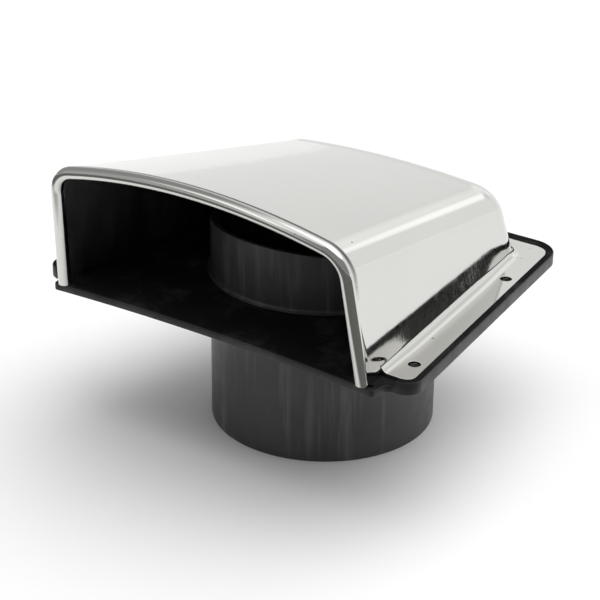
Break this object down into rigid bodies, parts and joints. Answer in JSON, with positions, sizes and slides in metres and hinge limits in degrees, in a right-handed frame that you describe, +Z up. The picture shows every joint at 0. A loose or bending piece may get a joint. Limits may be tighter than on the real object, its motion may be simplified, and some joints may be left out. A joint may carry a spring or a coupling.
{
  "type": "cowl vent",
  "caption": "Low-profile marine cowl vent: a forward-facing polished steel cowl on a black base plate, with a round duct sleeve for a 4 inch hose.",
  "frame": {"origin": "middle of the vent's own footprint, on the surface that the duct sleeve's lower end stands on; the deck plane is 67.5 mm above it", "axes": "+Z up along the duct, the mouth faces -Y, +X to the right seen from the front; symmetric about X = 0"},
  "size_m": [0.193, 0.1748, 0.1381],
  "materials": {
    "polished_steel": "polished",
    "black_plate": "satin",
    "black_sleeve": "satin"
  },
  "bodies": {
    "root": {"cowl": "polished_steel", "base_plate": "black_plate", "duct_sleeve": "black_sleeve"}
  },
  "joints": []
}
